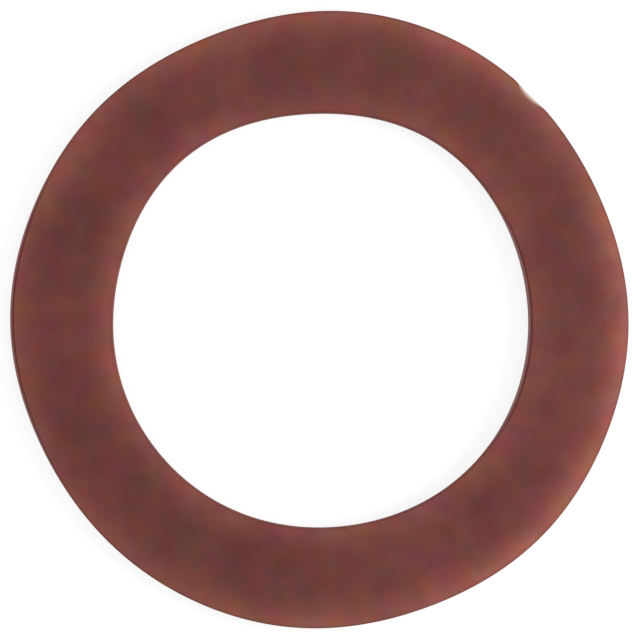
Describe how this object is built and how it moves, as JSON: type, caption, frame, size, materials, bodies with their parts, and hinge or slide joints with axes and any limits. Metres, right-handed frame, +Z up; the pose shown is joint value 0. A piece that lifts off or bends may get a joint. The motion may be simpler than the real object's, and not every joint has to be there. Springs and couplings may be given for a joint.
{
  "type": "rubber flange gasket",
  "caption": "Flat rubber ring with soft rolled shoulders, squeezed between pipe flanges to seal the joint around the bore.",
  "frame": {"origin": "on the bore's axis, in the plane of the lower sealing face", "axes": "+Z up along the bore's axis; the nick in the rim lies 47.5 degrees from +X towards +Y"},
  "size_m": [0.132, 0.132, 0.005],
  "materials": {
    "red_brown_rubber": "matte"
  },
  "bodies": {
    "root": {"gasket_ring": "red_brown_rubber"}
  },
  "joints": []
}
